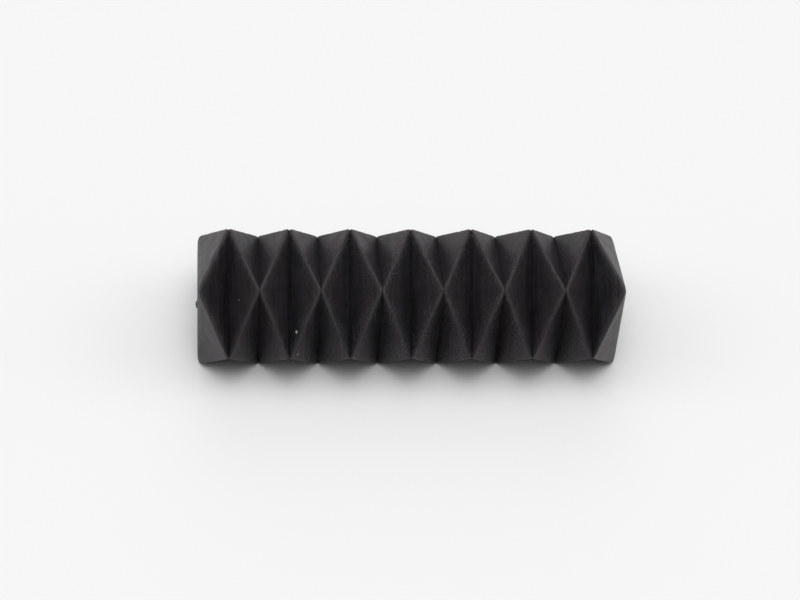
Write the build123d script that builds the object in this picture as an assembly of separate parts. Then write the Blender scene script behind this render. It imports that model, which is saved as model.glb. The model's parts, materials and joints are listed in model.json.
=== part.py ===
from build123d import *

# Bar-shaped string vibration dampener for a tennis racket, moulded in solid black rubber.
#
# The bar is a stack of triangular antiprisms. Every station along it has a triangular section, and each
# triangle is turned 60 degrees from its neighbours, so the surface is all flat triangles. Sharp ridges run
# from corner to corner between stations, and a V groove lies along every side of every triangle. A racket
# string sits in such a groove.
#
# The rubber is thinnest at the stations, and it flexes there. Each length of bar between two stations is a
# segment, and the hourglass-shaped slice of rubber that gives way at a station is a flex web. Segments and
# webs together fill the whole moulding, with no gaps. A station's hinge axis crosses the long axis and runs
# along one of the station's own grooves, so that bending opens or closes that groove.
#
# Units are millimetres. +X runs along the bar and +Z is up, with one flat side of the bar's hexagonal outline
# underneath. The origin is on the long axis, half-way between the two ends.

import os
from math import cos, radians, sin, tan

# Driving dimensions
GROOVE_COUNT = 7  # grooves along one side of the bar
GROOVE_PITCH = 6.4  # between neighbouring grooves on one side
CORNER_RADIUS = 7.92  # from the long axis to each corner of a triangular section
FULL_BEND = 36.0  # degrees from end to end, either way, by the odd stations alone or by the even ones alone
BEND_MARGIN = 0.5  # degrees of room past each hinge's limit, so that segments never meet
WEB_THICKNESS = 0.3  # of a flex web at its hinge axis, where it is thinnest

# Worked out from the above
SEGMENT_COUNT = 2 * GROOVE_COUNT
SEGMENT_LENGTH = GROOVE_PITCH / 2
FLEX_STATIONS = range(1, SEGMENT_COUNT)
ODD_STATIONS = [station for station in FLEX_STATIONS if station % 2 == 1]
EVEN_STATIONS = [station for station in FLEX_STATIONS if station % 2 == 0]
ODD_LIMIT = FULL_BEND / len(ODD_STATIONS)  # degrees each way at one station
EVEN_LIMIT = FULL_BEND / len(EVEN_STATIONS)
BEYOND = 2 * CORNER_RADIUS  # clear of every section

# Directions seen from the long axis, in degrees from +Z towards -Y
EVEN_CORNERS = (30, 150, 270)  # one corner points to +Y
ODD_CORNERS = (90, 210, 330)  # one corner points to -Y
EVEN_HINGE = 60  # along the groove that faces up and to the back
ODD_HINGE = 120  # along the groove that faces up and to the front


def station_x(station):
    """Place of a station along X. Station 0 is the left end and station SEGMENT_COUNT the right end."""
    return (station - SEGMENT_COUNT / 2) * SEGMENT_LENGTH


def section_corners(station):
    """The three corners of the triangular section at a station."""
    corners = []
    for direction in EVEN_CORNERS if station % 2 == 0 else ODD_CORNERS:
        turn = radians(direction)
        corners.append(Vector(station_x(station), -CORNER_RADIUS * sin(turn), CORNER_RADIUS * cos(turn)))
    return corners


def triangle(*corners):
    """A flat triangular face."""
    return Face(Wire.make_polygon(corners, close=True))


def antiprism(left_station):
    """The full length of bar from one station to the next: two end triangles joined by six side triangles."""
    left = section_corners(left_station)
    right = section_corners(left_station + 1)
    # Going round the bar from +Z, the corners of the two triangles take turns, the even station's first.
    even, odd = (left, right) if left_station % 2 == 0 else (right, left)
    around = [corner for pair in zip(even, odd) for corner in pair]
    sides = [triangle(around[i], around[(i + 1) % 6], around[(i + 2) % 6]) for i in range(6)]
    return Solid(Shell([triangle(*left), triangle(*right), *sides]))


def flex_zone(station):
    """The hourglass prism around a station's hinge axis, wide enough for the segments to bend into."""
    limit, hinge = (EVEN_LIMIT, EVEN_HINGE) if station in EVEN_STATIONS else (ODD_LIMIT, ODD_HINGE)
    waist = WEB_THICKNESS / 2
    mouth = waist + BEYOND * tan(radians(limit + BEND_MARGIN) / 2)
    outline = Polyline(
        (waist, 0),
        (mouth, BEYOND),
        (-mouth, BEYOND),
        (-waist, 0),
        (-mouth, -BEYOND),
        (mouth, -BEYOND),
        close=True,
    )
    upright_prism = extrude(make_face(outline), amount=BEYOND, both=True)
    return Pos(station_x(station), 0, 0) * Rot(hinge, 0, 0) * upright_prism


def segment(number):
    """The stiff part of one length of bar, clear of the flex zones. Segment 1 is the leftmost."""
    left_station = number - 1
    right_station = number
    solid = antiprism(left_station)
    for station in (left_station, right_station):
        if station in FLEX_STATIONS:
            solid -= flex_zone(station)
    return solid


def flex_web(station):
    """The rubber inside a station's flex zone, from both sides of the station."""
    zone = flex_zone(station)
    return (antiprism(station - 1) & zone) + (antiprism(station) & zone)


def segment_name(number):
    """The node name of a segment."""
    names = {1: "left_end_segment", SEGMENT_COUNT: "right_end_segment"}
    return names.get(number, f"segment_{number:02d}")


os.makedirs("parts", exist_ok=True)

for number in range(1, SEGMENT_COUNT + 1):
    export_step(segment(number), f"parts/{segment_name(number)}.step")

for station in FLEX_STATIONS:
    export_step(flex_web(station), f"parts/flex_web_{station:02d}.step")
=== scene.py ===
# Looks of a bar-shaped string dampener of black rubber. The bar is one moulding that bends at the hinges of
# the CAD frame, so its skin is made here as one surface and cut into a piece for each hinge. Each piece
# spans halves of the two segments that its hinge joins, and meets its neighbours half-way along a segment.
#
# Stations are the triangular sections of the bar: its two ends and every hinge. Station 0 is the left end.
# Lengths are in metres, except in the rubber's material, which works in millimetres.

import json
from math import cos, pi, radians, sin, sqrt
from types import SimpleNamespace

import bpy
import numpy as np
from mathutils import Matrix, Vector, noise

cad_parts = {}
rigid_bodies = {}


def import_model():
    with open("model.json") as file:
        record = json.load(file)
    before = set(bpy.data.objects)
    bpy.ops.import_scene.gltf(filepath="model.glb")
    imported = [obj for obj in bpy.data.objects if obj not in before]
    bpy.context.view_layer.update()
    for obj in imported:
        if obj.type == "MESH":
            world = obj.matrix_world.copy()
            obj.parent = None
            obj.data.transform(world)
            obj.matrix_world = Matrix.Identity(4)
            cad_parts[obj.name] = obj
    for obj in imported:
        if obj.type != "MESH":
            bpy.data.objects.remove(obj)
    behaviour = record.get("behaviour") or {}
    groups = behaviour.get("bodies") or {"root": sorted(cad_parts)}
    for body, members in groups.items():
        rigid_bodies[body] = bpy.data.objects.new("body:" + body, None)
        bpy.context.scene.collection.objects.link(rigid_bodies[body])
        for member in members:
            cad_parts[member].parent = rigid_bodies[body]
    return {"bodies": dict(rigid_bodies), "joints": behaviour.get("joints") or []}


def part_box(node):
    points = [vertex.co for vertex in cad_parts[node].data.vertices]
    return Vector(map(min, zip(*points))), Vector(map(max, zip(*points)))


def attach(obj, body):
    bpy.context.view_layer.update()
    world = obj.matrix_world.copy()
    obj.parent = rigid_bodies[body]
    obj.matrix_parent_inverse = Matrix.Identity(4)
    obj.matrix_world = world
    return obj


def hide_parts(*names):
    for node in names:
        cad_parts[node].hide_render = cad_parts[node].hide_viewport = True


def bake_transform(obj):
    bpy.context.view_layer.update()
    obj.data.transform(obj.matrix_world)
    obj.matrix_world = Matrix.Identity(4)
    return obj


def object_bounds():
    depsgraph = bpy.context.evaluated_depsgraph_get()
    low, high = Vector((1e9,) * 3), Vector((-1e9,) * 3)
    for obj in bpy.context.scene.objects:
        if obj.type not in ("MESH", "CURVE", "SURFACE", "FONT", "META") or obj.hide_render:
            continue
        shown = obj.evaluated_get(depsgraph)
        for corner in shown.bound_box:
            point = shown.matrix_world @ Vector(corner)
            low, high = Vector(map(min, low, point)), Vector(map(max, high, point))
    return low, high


MM = 0.001

# The bar, from the frame
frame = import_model()
cad_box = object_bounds()
HINGES = sorted(frame["joints"], key=lambda joint: joint["pos_m"][0])
HALF_LENGTH = cad_box[1][0]
CORNER_RADIUS = cad_box[1][1]
STEP = HINGES[1]["pos_m"][0] - HINGES[0]["pos_m"][0]

# How sharp the moulding is. The grooves are left sharp.
RIDGE_SOFTNESS = 0.13 * MM
TIP_SOFTNESS = 0.06 * MM  # along X, where ridges meet
LEFT_END_SOFTNESS = 0.15 * MM
RIGHT_END_SOFTNESS = 0.18 * MM
RADIUS_LOSS = 0.23 * MM  # what the softness takes off the corners, given back
END_LOSS = 0.09 * MM  # and off each end

# Wear of the ridges
NICK_DEPTH = 0.07 * MM
NICK_LENGTH = 0.5 * MM
NICK_REACH = 0.3 * MM  # how far from a ridge the wear goes

# The pip left by the gate of the mould, on the left end face
GATE_RADIUS = 0.42 * MM
GATE_HEIGHT = 0.19 * MM
GATE_PLACE = (-0.06 * CORNER_RADIUS, -0.09 * CORNER_RADIUS)  # along Y and Z
GATE_RINGS = 6
GATE_COLUMNS = 32

# How finely the skin is meshed, and how closely it crowds towards the sharp places
ROWS_PER_HALF_STEP = 22
COLUMNS_PER_SIDE = 24
END_ROWS = 20
STATION_CROWDING = 1.8
RIDGE_CROWDING = 2.2
HALVINGS = 34  # of a ray's length, in the search for the surface

# Places on the bar for the rubber's material, in millimetres
TOP = 0.95 * CORNER_RADIUS / MM  # along Z, a little above the highest ridges
BACK = (0.38 * CORNER_RADIUS / MM, 0.76 * CORNER_RADIUS / MM)  # where the grit thins out, along Y
MIDDLE_REACH = (0.31 * HALF_LENGTH / MM, 0.76 * HALF_LENGTH / MM)  # and along X, either way
POLISHED_FROM = (HALF_LENGTH - STEP) / MM  # the outermost sides are smoother than the rest
SPECKS = (  # steps from the left end, degrees round from +Z towards -Y, radius
    (3.22, 69.6, 0.16),
    (3.28, 94.4, 0.12),
    (1.34, 38.3, 0.06),
)

# Marks on the rubber: how many lumps of noise to a millimetre
PATCHES_PER_MM = 0.7
LINES_PER_MM = 2.0
SCORES_PER_MM = 3.2
# The rub on the ridges also carries a painted highlight
RUB_AND_HIGHLIGHT_WIDTHS_PER_MM = 1.1
RUB_AND_HIGHLIGHT_EDGES_PER_MM = 3.5
RUB_AND_HIGHLIGHT_GAPS_PER_MM = 2.0
GRAINS_PER_MM = 3.0
GRAIN_FIELDS_PER_MM = 0.3  # the patches that the grains lie in
PITS_PER_MM = 4.5

# How far the marks reach, in millimetres
RUB_AND_HIGHLIGHT_REACH = (0.5, 1.15)  # from a ridge, least and most
RUB_AND_HIGHLIGHT_RAGGED = (-0.12, 0.22)  # what the noise adds to the distance from a ridge
BLOOM_REACH = 1.2
# The painted shade in the grooves reaches GROOVE_REACH from a groove, and the scores start there
GROOVE_REACH = 0.2
SCORE_REACH = 1.3

# How strongly they show, least and most
LINES_SHOWN = (0.0, 0.6)
SCORES_SHOWN = (0.25, 0.95)
# Painted shade in the grooves, least and most
GROOVE_SHADE_SHOWN = (0.0, 0.95)
BLOOM_SHOWN = (0.0, 0.25)
# Rub and painted ridge highlight, least low on the bar and most at the top
RUB_AND_HIGHLIGHT_SHOWN = (0.05, 0.75)
GRAINS_SHOWN = 0.22
GRAINS_AWAY = (0.08, 0.3)  # share left away from the ridges, on the front sides and on the back ones

# How deep they are, before the relief is scaled
RELIEF_DEPTH = 0.08 * MM
PITS_DEPTH = 0.4
LINES_DEPTH = 1.1
GRAINS_DEPTH = 1.4

# How the rubber shines
ROUGHNESS = (0.52, 0.62)  # of the dark and the light patches
GLOSS = (0.33, 0.46)  # underneath and on top
POLISH_ROUGHNESS = -0.10  # added where the sides are polished
POLISH_GLOSS = 0.06
SHEEN = (0.002, 0.02)  # in the grooves and away from them
NOISE_SPREAD = (0.3, 0.7)  # nearly all of the noise lies between these

# Colours: the rubber's from dark to light, then dust, tints and table. The darkest is painted shade in the
# grooves, and the bloom and the rub carry painted light.
# Painted shade at the bottoms of the grooves
GROOVE_SHADE = (0.0015, 0.0015, 0.0020)
SCORE = (0.0025, 0.0022, 0.0030)
DARK_RUBBER = (0.0070, 0.0061, 0.0076)
LIGHT_RUBBER = (0.0128, 0.0114, 0.0136)
MOULD_LINES = (0.0175, 0.0156, 0.0182)
# Bloom, with painted light: it is laid on more towards the top of the bar
BLOOM_AND_TOP_LIGHT = (0.0220, 0.0195, 0.0205)
# Rubbed grey, with a painted highlight along the ridges
RUBBED_AND_HIGHLIGHT = (0.034, 0.031, 0.031)
GRAINS = (0.062, 0.057, 0.056)
DUST = (0.42, 0.38, 0.28)
GLOSS_TINT = (1.0, 0.95, 0.975)
SHEEN_TINT = (1.0, 0.25, 0.6)
TABLE_WHITE = (0.847, 0.847, 0.847)

# Camera
CAMERA_AZIMUTH = radians(-5.86)
CAMERA_ELEVATION = radians(55.1)
CAMERA_ROLL = radians(4.81)
CAMERA_DISTANCE = 7.914 * 2 * HALF_LENGTH
CAMERA_LENS = 149.6  # in millimetres
CAMERA_SENSOR = 36  # in millimetres
AIM_RIGHT = 0.0204 * 2 * HALF_LENGTH  # how far right of the picture's centre the bar is
AIM_ABOVE = 0.0074 * 2 * HALF_LENGTH

# Light and floor
LIGHTS = (  # azimuth and elevation in degrees, the power of the cosine it fades by, strength
    (-90, 82, 17.5, 6.7),  # overhead, a little in front
    (0, 48, 27, 2.1),  # right
    (0, 8, 9, 0.8),  # low on the right
    (180, 48, 27, 2.1),  # left
    (180, 8, 9, 0.8),  # low on the left
    (90, 42, 14.5, 1.2),  # behind
    (90, 8, 9, 0.5),  # low behind
)
FILL = 0.02
BACKDROP = 0.9
FLOOR_HALF_SIZE = 67 * HALF_LENGTH


# ---- The shape of the bar ----

SIDE_TURNS = np.radians(30 + 60 * np.arange(6))  # directions that the six sides face, from +Z towards -Y
SIDE_NORMALS = np.stack([-np.sin(SIDE_TURNS), np.cos(SIDE_TURNS)], axis=1)
SIDE_TANGENTS = np.stack([-SIDE_NORMALS[:, 1], SIDE_NORMALS[:, 0]], axis=1)
IS_EVEN_SIDE = np.arange(6) % 2 == 1  # sides that hold a groove at every even station
FULL_RADIUS = CORNER_RADIUS + RADIUS_LOSS
SIDE_SLOPE = np.arctan2(FULL_RADIUS / 2, STEP)  # of every side plane, away from its groove
RIDGE_COSINE = cos(pi / 3) * cos(SIDE_SLOPE) ** 2 - sin(SIDE_SLOPE) ** 2  # of the turn at a ridge
RIDGE_SINE = sqrt(1 - RIDGE_COSINE**2)
LEAST_SIDE = 0.02  # share of a full side that the mesh keeps where a side shrinks to a point


def station_phase(x):
    """0 at even stations and 1 at odd ones, straight in between."""
    return 1 - np.abs((x + HALF_LENGTH) / STEP % 2 - 1)


def side_distances(x):
    """How far each side is from the long axis at each x: least at its groove, most where ridges meet."""
    phase = station_phase(x)[:, None]
    from_tip = np.where(IS_EVEN_SIDE, 1 - phase, phase)
    return FULL_RADIUS / 2 * (2 - np.hypot(from_tip, TIP_SOFTNESS / STEP))


def side_heights(points):
    """How far each point lies outside each side plane."""
    across = points[:, 1:] @ SIDE_NORMALS.T
    return (across - side_distances(points[:, 0])) * np.cos(SIDE_SLOPE)


def soft_highest(heights, softness):
    """The highest value in each row, rounded up a little where two or more are close."""
    highest = heights.max(axis=1)
    above = np.exp((heights - highest[:, None]) / np.reshape(softness, (-1, 1))).sum(axis=1)
    return highest + softness * np.log(above)


def outside(points):
    """Rounded distance outside the bar, below zero inside it."""
    sides = soft_highest(side_heights(points), RIDGE_SOFTNESS)
    ends = np.abs(points[:, 0]) - HALF_LENGTH - END_LOSS
    softness = np.where(points[:, 0] < 0, LEFT_END_SOFTNESS, RIGHT_END_SOFTNESS)
    return soft_highest(np.stack([sides, ends], axis=1), softness)


def surface_depths(anchors, directions):
    """How far along rays from inside the bar its surface is, by halving."""
    near = np.zeros(len(anchors))
    far = np.full(len(anchors), 3 * CORNER_RADIUS)
    for _ in range(HALVINGS):
        middle = (near + far) / 2
        is_out = outside(anchors + middle[:, None] * directions) > 0
        far = np.where(is_out, middle, far)
        near = np.where(is_out, near, middle)
    return near


def ridge_distances(points):
    """How far along its own side each point is from the nearest ridge."""
    heights = np.sort(side_heights(points), axis=1)
    return (heights[:, -1] - heights[:, -2]) / RIDGE_SINE


def groove_distances(points):
    """How far along X each point is from the groove of its own side."""
    side = side_heights(points).argmax(axis=1)
    phase = station_phase(points[:, 0])
    return np.where(IS_EVEN_SIDE[side], phase, 1 - phase) * STEP


def wear_noise(point):
    """Lumps with finer lumps on them, about as much above zero as below."""
    place = Vector(point) / NICK_LENGTH
    return noise.noise(place) + 0.5 * noise.noise(place * 3)


def nick_depths(points):
    """How deep the wear is at each point: uneven, and only close to the ridges."""
    ridge = ridge_distances(points)
    depths = np.zeros(len(points))
    for index in np.flatnonzero(ridge < 3 * NICK_REACH):
        closeness = np.exp(-((ridge[index] / NICK_REACH) ** 2))
        depths[index] = NICK_DEPTH * max(wear_noise(points[index]), 0) * closeness
    return depths


# ---- The skin pieces ----

SHARES_OF_HALF_STEP = np.arange(ROWS_PER_HALF_STEP + 1) / ROWS_PER_HALF_STEP
HALF_STEP_ROWS = SHARES_OF_HALF_STEP**STATION_CROWDING * STEP / 2  # distances from a station


def crowd_ends(share, power):
    """Moves shares between 0 and 1 towards the nearer of the two."""
    return np.where(share < 0.5, (2 * share) ** power / 2, 1 - (2 - 2 * share) ** power / 2)


def outline(x):
    """Points round the section at x, crowded towards the ridges, with no side shrunk right to a point."""
    phase = LEAST_SIDE + (1 - 2 * LEAST_SIDE) * station_phase(x)
    reach = FULL_RADIUS / 2 * (1 + np.where(IS_EVEN_SIDE, phase, 1 - phase))
    to_corner = (np.roll(reach, -1) - reach * cos(pi / 3)) / sin(pi / 3)
    stops = reach[:, None] * SIDE_NORMALS + to_corner[:, None] * SIDE_TANGENTS
    starts = np.roll(stops, 1, axis=0)
    shares = crowd_ends(np.arange(COLUMNS_PER_SIDE) / COLUMNS_PER_SIDE, RIDGE_CROWDING)
    return (starts[:, None] + shares[None, :, None] * (stops - starts)[:, None]).reshape(-1, 2)


def section_target(x, share=1.0):
    """The sharp outline at x, drawn in towards the axis to a share of its size."""
    ring = outline(x) * share
    return np.hstack([np.full((len(ring), 1), x), ring])


def end_targets(end_x):
    """Rings from an end's edge nearly to the middle of its face."""
    shares = 1 - (np.arange(1, END_ROWS) / END_ROWS) ** STATION_CROWDING
    return [section_target(end_x, share) for share in shares]


def ring_targets(hinge_x, is_first, is_last):
    """Sharp rings for one skin piece, from left to right, with an end of the bar where it has one."""
    xs = [*(hinge_x - HALF_STEP_ROWS[::-1]), *(hinge_x + HALF_STEP_ROWS[1:])]
    if is_first:
        xs = [*(HALF_STEP_ROWS[:-1] - HALF_LENGTH), *xs]
    if is_last:
        xs = [*xs, *(HALF_LENGTH - HALF_STEP_ROWS[:-1][::-1])]
    targets = [section_target(x) for x in xs]
    if is_first:
        targets = end_targets(-HALF_LENGTH)[::-1] + targets
    if is_last:
        targets = targets + end_targets(HALF_LENGTH)
    return np.array(targets)


def surface_rings(targets):
    """Rings of points on the worn surface, where rays from the long axis towards the targets meet it."""
    aims = targets.reshape(-1, 3)
    anchors = np.zeros_like(aims)
    anchors[:, 0] = np.clip(aims[:, 0], STEP / 2 - HALF_LENGTH, HALF_LENGTH - STEP / 2)
    directions = aims - anchors
    directions /= np.linalg.norm(directions, axis=1, keepdims=True)
    points = anchors + surface_depths(anchors, directions)[:, None] * directions
    worn = points - nick_depths(points)[:, None] * directions
    return worn.reshape(targets.shape)


def skin_faces(row_count, column_count):
    """Four-sided faces between neighbouring rings."""
    faces = []
    for row in range(row_count - 1):
        for column in range(column_count):
            here = row * column_count + column
            beside = row * column_count + (column + 1) % column_count
            faces.append((here, beside, beside + column_count, here + column_count))
    return faces


def fan(pole, ring):
    """Three-sided faces from a pole to each stretch of a ring."""
    return [(pole, ring[i], ring[(i + 1) % len(ring)]) for i in range(len(ring))]


def skin_mesh(name, rings, is_first, is_last):
    """A closed mesh through the rings, with a flat cap towards a neighbour and a pole on an end face."""
    row_count, column_count = rings.shape[:2]
    points = rings.reshape(-1, 3)
    faces = skin_faces(row_count, column_count)
    left_ring = list(range(column_count))[::-1]
    right_ring = [(row_count - 1) * column_count + column for column in range(column_count)]
    sides = (
        (left_ring, is_first, -HALF_LENGTH - END_LOSS),
        (right_ring, is_last, HALF_LENGTH + END_LOSS),
    )
    caps = []
    for ring, is_bar_end, end_x in sides:
        if is_bar_end:
            faces += fan(len(points), ring)
            points = np.vstack([points, (end_x, 0, 0)])
        else:
            caps.append(tuple(ring))
    mesh = bpy.data.meshes.new(name)
    mesh.from_pydata(points, [], faces + caps)
    mesh.polygons.foreach_set("use_smooth", [True] * len(faces) + [False] * len(caps))
    keep_rims_sharp(mesh, caps)
    store_places(mesh, points)
    return mesh


def keep_rims_sharp(mesh, caps):
    """Stops the shading from running over the rims of the caps, so that no seam shows between pieces."""
    rim = {frozenset(pair) for cap in caps for pair in zip(cap, cap[1:] + cap[:1])}
    is_rim = [frozenset(edge.vertices) in rim for edge in mesh.edges]
    mesh.attributes.new("sharp_edge", "BOOLEAN", "EDGE").data.foreach_set("value", is_rim)


def store_places(mesh, points):
    """Keeps what the rubber's material reads, in millimetres at rest, so that marks stay put in any pose."""
    rest = mesh.attributes.new("rest_mm", "FLOAT_VECTOR", "POINT")
    rest.data.foreach_set("vector", (points / MM).ravel())
    for name, distances in (("ridge_mm", ridge_distances), ("groove_mm", groove_distances)):
        kept = mesh.attributes.new(name, "FLOAT", "POINT")
        kept.data.foreach_set("value", distances(points) / MM)


def add_piece(name, mesh, material):
    """A new object in the scene."""
    mesh.materials.append(material)
    piece = bpy.data.objects.new(name, mesh)
    bpy.context.scene.collection.objects.link(piece)
    return piece


def body_x(body):
    """Where a body's segment starts along X. A segment's node has its body's name."""
    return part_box(body)[0][0]


def make_skin(material):
    """One piece of skin for every hinge, each standing for a flex web and the segment to its left."""
    for index, hinge in enumerate(HINGES):
        is_first = index == 0
        is_last = index == len(HINGES) - 1
        x = hinge["pos_m"][0]
        name = f"skin_{index + 1:02d}"
        rings = surface_rings(ring_targets(x, is_first, is_last))
        piece = add_piece(name, skin_mesh(name, rings, is_first, is_last), material)
        left, right = sorted((hinge["parent"], hinge["child"]), key=body_x)
        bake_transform(piece)
        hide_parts(left, f"flex_web_{index + 1:02d}")
        if is_last:
            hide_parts(right)


def make_gate_mark(material):
    """The small pip on the left end face where the rubber was let into the mould."""
    end_x = -HALF_LENGTH - END_LOSS
    rings = [(GATE_RADIUS, end_x + GATE_HEIGHT)]
    for step in range(GATE_RINGS):
        lift = step / GATE_RINGS * pi / 2
        rings.append((GATE_RADIUS * cos(lift), end_x - GATE_HEIGHT * sin(lift)))
    turns = [2 * pi * step / GATE_COLUMNS for step in range(GATE_COLUMNS)]
    y, z = GATE_PLACE
    points = [(x, y + radius * cos(turn), z + radius * sin(turn)) for radius, x in rings for turn in turns]
    faces = [face[::-1] for face in skin_faces(len(rings), GATE_COLUMNS)]
    faces.append(tuple(range(GATE_COLUMNS)))
    faces.append(tuple(range(len(points) - GATE_COLUMNS, len(points)))[::-1])
    mesh = bpy.data.meshes.new("gate_mark")
    mesh.from_pydata(points, [], faces)
    store_places(mesh, np.array(points))
    mark = add_piece("gate_mark", mesh, material)
    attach(mark, min(frame["bodies"], key=body_x))


# ---- Shader nodes ----

def add_node(tree, kind, inputs, **settings):
    """A new shader node. Each input is a plain value or another node's output."""
    node = tree.nodes.new(kind)
    for name, value in settings.items():
        setattr(node, name, value)
    for name, value in inputs.items():
        if isinstance(value, bpy.types.NodeSocket):
            tree.links.new(value, node.inputs[name])
        else:
            node.inputs[name].default_value = value
    return node


def calculate(tree, operation, *values):
    """The result of a maths node."""
    return add_node(tree, "ShaderNodeMath", dict(enumerate(values)), operation=operation).outputs[0]


def multiply(tree, first, second):
    """The product of two values."""
    return calculate(tree, "MULTIPLY", first, second)


def add_scaled(tree, total, value, scale):
    """A total with so much of a value added."""
    return calculate(tree, "MULTIPLY_ADD", value, scale, total)


def stored(tree, name, output):
    """What the mesh keeps under a name."""
    return add_node(tree, "ShaderNodeAttribute", {}, attribute_name=name).outputs[output]


def lumps(tree, places, per_mm, detail=3.0):
    """Smooth noise, about 0 to 1."""
    inputs = {"Vector": places, "Scale": per_mm, "Detail": detail, "Roughness": 0.6}
    return add_node(tree, "ShaderNodeTexNoise", inputs).outputs[0]


def fade(tree, value, limits, results=(0.0, 1.0)):
    """A smooth change from one result to the other as a value goes from one limit to the other."""
    names = ("From Min", "From Max", "To Min", "To Max")
    inputs = {"Value": value, **dict(zip(names, (*limits, *results)))}
    return add_node(tree, "ShaderNodeMapRange", inputs, interpolation_type="SMOOTHSTEP").outputs[0]


def blend_colours(tree, share, first, second):
    """A mix of two colours."""
    node = add_node(tree, "ShaderNodeMix", {"Factor": share}, data_type="RGBA")
    for socket, colour in ((node.inputs[6], first), (node.inputs[7], second)):
        if isinstance(colour, bpy.types.NodeSocket):
            tree.links.new(colour, socket)
        else:
            socket.default_value = (*colour, 1)
    return node.outputs[2]


# ---- The rubber ----
#
# Where a fade's limits are not named, those on noise are levels of it, and the rest are millimetres.

def along_grooves(tree, places, per_mm):
    """Noise drawn out into lines along the grooves, as a cutter leaves them in a mould."""
    stretch = (1.0, 0.05, 0.05)
    drawn_out = add_node(tree, "ShaderNodeVectorMath", {0: places, 1: stretch}, operation="MULTIPLY")
    return lumps(tree, drawn_out.outputs[0], per_mm)


def dust(tree, places):
    """1 on the specks of dust and 0 elsewhere."""
    on_any = 0.0
    for steps, turn, radius in SPECKS:
        anchor = np.array([[steps * STEP - HALF_LENGTH, 0, 0]])
        direction = np.array([[0, -sin(radians(turn)), cos(radians(turn))]])
        middle = (anchor + surface_depths(anchor, direction) * direction)[0] / MM
        distance = add_node(tree, "ShaderNodeVectorMath", {0: places, 1: middle}, operation="DISTANCE")
        on_this = calculate(tree, "LESS_THAN", distance.outputs["Value"], radius)
        on_any = calculate(tree, "MAXIMUM", on_any, on_this)
    return on_any


def rub_and_ridge_highlight(tree, here):
    """How rubbed the rubber is, with a painted highlight: lighter along the ridges and most on the top ones,
    where the light falls, fading away from them, in uneven patches.
    """
    reach = fade(tree, lumps(tree, here.places, RUB_AND_HIGHLIGHT_WIDTHS_PER_MM), (0.35, 0.65), RUB_AND_HIGHLIGHT_REACH)
    edges = fade(tree, lumps(tree, here.places, RUB_AND_HIGHLIGHT_EDGES_PER_MM), NOISE_SPREAD, RUB_AND_HIGHLIGHT_RAGGED)
    ragged = calculate(tree, "ADD", here.ridge, edges)
    line = fade(tree, calculate(tree, "DIVIDE", ragged, reach), (0.1, 1.0), (1.0, 0.0))
    uneven = fade(tree, lumps(tree, here.places, RUB_AND_HIGHLIGHT_GAPS_PER_MM), (0.35, 0.6), (0.45, 1.0))
    # Painted highlight: the ridges get lighter towards the top, where the light falls
    painted_highlight_by_height = fade(tree, here.height, (1.0, TOP), RUB_AND_HIGHLIGHT_SHOWN)
    return multiply(tree, line, multiply(tree, uneven, painted_highlight_by_height))


def grit(tree, here):
    """Light grains in patches: most near the bar's middle, where it is handled, and beside the ridges."""
    grains = fade(tree, lumps(tree, here.places, GRAINS_PER_MM, detail=2.0), (0.45, 0.68))
    fields = fade(tree, lumps(tree, here.places, GRAIN_FIELDS_PER_MM, detail=1.0), (0.4, 0.58), (0.3, 1.0))
    away = fade(tree, here.across, (-1.0, 1.0), GRAINS_AWAY)
    near_ridge = fade(tree, here.ridge, (0.4, 2.0), (1.0, away))
    handled = fade(tree, here.from_middle, MIDDLE_REACH, (1.0, 0.15))
    in_front = fade(tree, here.across, BACK, (1.0, 0.35))
    for share in (fields, near_ridge, handled, in_front):
        grains = multiply(tree, grains, share)
    return grains


def read_places(tree):
    """Where on the bar at rest the point being shaded is, in millimetres."""
    places = stored(tree, "rest_mm", "Vector")
    along, across, height = add_node(tree, "ShaderNodeSeparateXYZ", {0: places}).outputs
    return SimpleNamespace(
        places=places,
        across=across,
        height=height,
        from_middle=calculate(tree, "ABSOLUTE", along),
        ridge=stored(tree, "ridge_mm", "Fac"),
        groove=stored(tree, "groove_mm", "Fac"),
    )


def rubber_colour(tree, here, patches, lines, grains):
    """The colour of the rubber, built up in layers, with painted shade in the grooves and painted light on
    the ridges and towards the top.
    """
    scores = fade(tree, along_grooves(tree, here.places, SCORES_PER_MM), (0.47, 0.57), SCORES_SHOWN)
    near_groove = fade(tree, here.groove, (GROOVE_REACH, SCORE_REACH), (1.0, 0.15))
    off_ridge = fade(tree, here.ridge, (0.1, 0.6))
    groove_shade = fade(tree, here.groove, (0.0, GROOVE_REACH), GROOVE_SHADE_SHOWN[::-1])
    bloom = fade(tree, here.ridge, (0.0, BLOOM_REACH), BLOOM_SHOWN[::-1])
    # Painted light: the bloom grows towards the top of the bar, where the light falls
    painted_light_by_height = fade(tree, here.height, (-1.0, 5.0), (0.3, 1.0))
    colour = blend_colours(tree, fade(tree, patches, NOISE_SPREAD), DARK_RUBBER, LIGHT_RUBBER)
    layers = (
        (fade(tree, lines, (0.4, 0.65), LINES_SHOWN), MOULD_LINES),
        (multiply(tree, bloom, painted_light_by_height), BLOOM_AND_TOP_LIGHT),
        (multiply(tree, near_groove, scores), SCORE),
        # Painted shade along the bottoms of the grooves, kept off the ridges
        (multiply(tree, groove_shade, off_ridge), GROOVE_SHADE),
        (rub_and_ridge_highlight(tree, here), RUBBED_AND_HIGHLIGHT),
        (multiply(tree, grains, GRAINS_SHOWN), GRAINS),
        (dust(tree, here.places), DUST),
    )
    for share, layer_colour in layers:
        colour = blend_colours(tree, share, colour, layer_colour)
    return colour


def rubber_relief(tree, here, lines, grains):
    """The fine relief of the rubber."""
    relief = multiply(tree, lumps(tree, here.places, PITS_PER_MM, detail=2.0), PITS_DEPTH)
    relief = add_scaled(tree, relief, lines, LINES_DEPTH)
    relief = add_scaled(tree, relief, grains, GRAINS_DEPTH)
    inputs = {"Height": relief, "Strength": 1.0, "Distance": RELIEF_DEPTH}
    return add_node(tree, "ShaderNodeBump", inputs).outputs["Normal"]


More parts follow.
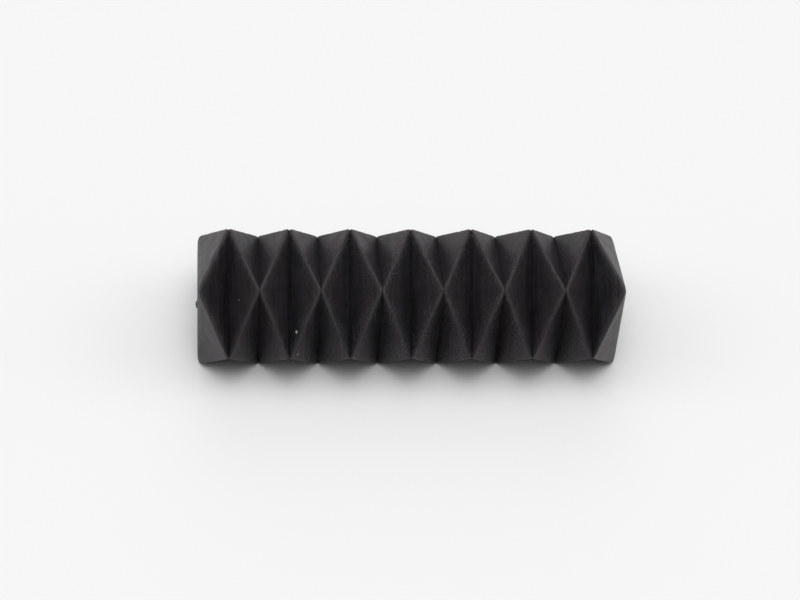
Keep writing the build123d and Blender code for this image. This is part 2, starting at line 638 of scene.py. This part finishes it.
def black_rubber():
    """Moulded black rubber: dull and patchy, lined along its grooves, with painted shade in them, rubbed
    grey on its ridges with a painted highlight, and a bloom painted lighter towards the top.
    """
    material = bpy.data.materials.new("black_rubber")
    material.use_nodes = True
    tree = material.node_tree
    here = read_places(tree)
    patches = lumps(tree, here.places, PATCHES_PER_MM, detail=5.0)
    lines = along_grooves(tree, here.places, LINES_PER_MM)
    grains = grit(tree, here)
    polish = fade(tree, here.from_middle, (POLISHED_FROM, POLISHED_FROM + 0.3))
    roughness = fade(tree, patches, NOISE_SPREAD, ROUGHNESS)
    gloss = fade(tree, here.height, (-1.0, 6.0), GLOSS)
    looks = {
        "Base Color": rubber_colour(tree, here, patches, lines, grains),
        "Roughness": add_scaled(tree, roughness, polish, POLISH_ROUGHNESS),
        "Specular IOR Level": add_scaled(tree, gloss, polish, POLISH_GLOSS),
        "Sheen Weight": fade(tree, here.groove, (0.4, 2.4), SHEEN),
        "Normal": rubber_relief(tree, here, lines, grains),
    }
    shader = tree.nodes["Principled BSDF"]
    for name, output in looks.items():
        tree.links.new(output, shader.inputs[name])
    shader.inputs["Specular Tint"].default_value = (*GLOSS_TINT, 1)
    shader.inputs["Sheen Tint"].default_value = (*SHEEN_TINT, 1)
    return material


# ---- Stage ----

def white_table():
    """Smooth white table top."""
    material = bpy.data.materials.new("white_table")
    material.use_nodes = True
    shader = material.node_tree.nodes["Principled BSDF"]
    shader.inputs["Base Color"].default_value = (*TABLE_WHITE, 1)
    shader.inputs["Roughness"].default_value = 0.6
    shader.inputs["Specular IOR Level"].default_value = 0.2
    return material


def make_floor():
    """The table that the bar lies on."""
    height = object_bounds()[0][2]
    signs = ((-1, -1), (1, -1), (1, 1), (-1, 1))
    corners = [(x_sign * FLOOR_HALF_SIZE, y_sign * FLOOR_HALF_SIZE, height) for x_sign, y_sign in signs]
    mesh = bpy.data.meshes.new("floor")
    mesh.from_pydata(corners, [], [(0, 1, 2, 3)])
    add_piece("floor", mesh, white_table())


def light_strength(tree):
    """How bright the studio is in every direction."""
    direction = add_node(tree, "ShaderNodeTexCoord", {}).outputs["Generated"]
    strength = FILL
    for azimuth, elevation, focus, peak in LIGHTS:
        turn = Matrix.Rotation(radians(azimuth), 3, "Z") @ Matrix.Rotation(radians(-elevation), 3, "Y")
        middle = turn @ Vector((1, 0, 0))
        facing = add_node(tree, "ShaderNodeVectorMath", {0: direction, 1: middle}, operation="DOT_PRODUCT")
        in_front = calculate(tree, "MAXIMUM", facing.outputs["Value"], 0.0)
        strength = add_scaled(tree, strength, calculate(tree, "POWER", in_front, focus), peak)
    return strength


def make_light():
    """Large soft lights overhead, at both sides and behind, and next to nothing from the front."""
    world = bpy.data.worlds.new("studio")
    world.use_nodes = True
    tree = world.node_tree
    seen = add_node(tree, "ShaderNodeLightPath", {}).outputs["Is Camera Ray"]
    inputs = {0: seen, 2: light_strength(tree), 3: BACKDROP}
    shown = add_node(tree, "ShaderNodeMix", inputs, data_type="FLOAT").outputs[0]
    background = tree.nodes["Background"]
    background.inputs["Color"].default_value = (1, 1, 1, 1)
    tree.links.new(shown, background.inputs["Strength"])
    bpy.context.scene.world = world


def make_camera():
    """A camera well above the bar and almost in front of it, turned a little so that the bar looks level."""
    turn = Matrix.Rotation(CAMERA_AZIMUTH, 4, "Z")
    turn @= Matrix.Rotation(pi / 2 - CAMERA_ELEVATION, 4, "X")
    turn @= Matrix.Rotation(CAMERA_ROLL, 4, "Z")
    camera = bpy.data.objects.new("camera", bpy.data.cameras.new("camera"))
    camera.data.lens = CAMERA_LENS
    camera.data.sensor_width = CAMERA_SENSOR
    camera.data.clip_start = HALF_LENGTH / 2
    camera.matrix_world = turn @ Matrix.Translation((-AIM_RIGHT, -AIM_ABOVE, CAMERA_DISTANCE))
    bpy.context.scene.collection.objects.link(camera)
    bpy.context.scene.camera = camera


rubber = black_rubber()
make_skin(rubber)
make_gate_mark(rubber)
make_floor()
make_light()
make_camera()
bpy.context.scene.view_settings.view_transform = "Standard"
